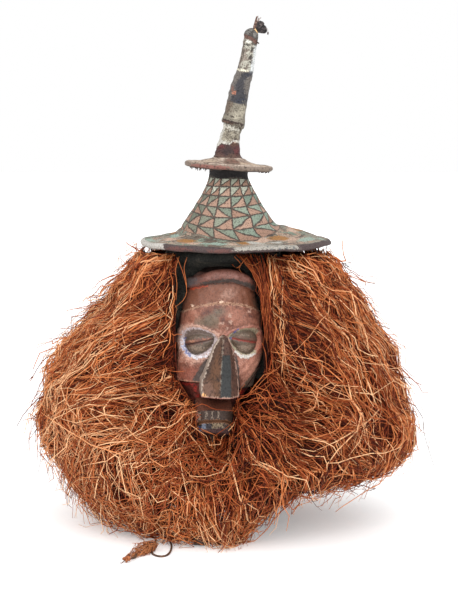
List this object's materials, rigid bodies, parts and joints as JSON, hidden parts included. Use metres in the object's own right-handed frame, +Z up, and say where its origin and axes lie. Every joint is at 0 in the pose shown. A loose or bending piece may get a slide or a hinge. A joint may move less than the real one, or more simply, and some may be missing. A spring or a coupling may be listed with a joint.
{
  "type": "dance mask",
  "caption": "Helmet mask: carved painted face with a handle, cloth hood, broad painted hat with a leaning spire, and a full raffia collar that it stands on.",
  "frame": {"origin": "on the surface the mask stands on, below the middle of the raffia collar", "axes": "+Z up along the height, -Y out of the face towards the viewer, +X to the viewer's right"},
  "size_m": [0.5751, 0.4837, 0.7342],
  "materials": {
    "carved_wood": "carved hardwood with worn red-brown paint, satin",
    "hood_cloth": "blackened woven cloth, matt",
    "hat_cloth": "stiffened cloth with green and pink painted triangles, matt",
    "disc_cloth": "stiffened painted cloth, worn, matt",
    "spire_cloth": "painted cloth sleeve, flaking, matt",
    "tuft_cloth": "dark gathered cloth, matt",
    "yellow_cord": "twisted plant fibre cord",
    "raffia": "dyed raffia fibre, dry",
    "vine": "dark dry vine",
    "tie_fibre": "bound plant fibre, dry"
  },
  "bodies": {
    "root": {"carved_face": "carved_wood", "hood": "hood_cloth", "hat": "hat_cloth", "upper_disc": "disc_cloth", "spire_foot": "spire_cloth", "spire_sleeve": "spire_cloth", "tip_tuft": "tuft_cloth", "tip_cord": "yellow_cord", "fringe_hank_1": "raffia", "fringe_hank_2": "raffia", "fringe_hank_3": "raffia", "fringe_hank_4": "raffia", "fringe_hank_5": "raffia", "fringe_hank_6": "raffia", "fringe_hank_7": "raffia", "fringe_hank_8": "raffia", "collar_hank_1": "raffia", "collar_hank_2": "raffia", "collar_hank_3": "raffia", "collar_hank_4": "raffia", "collar_hank_5": "raffia", "collar_hank_6": "raffia", "collar_hank_7": "raffia", "collar_hank_8": "raffia", "tie_cord": "vine", "tie_bundle": "tie_fibre", "tie_knot": "vine"}
  },
  "joints": []
}
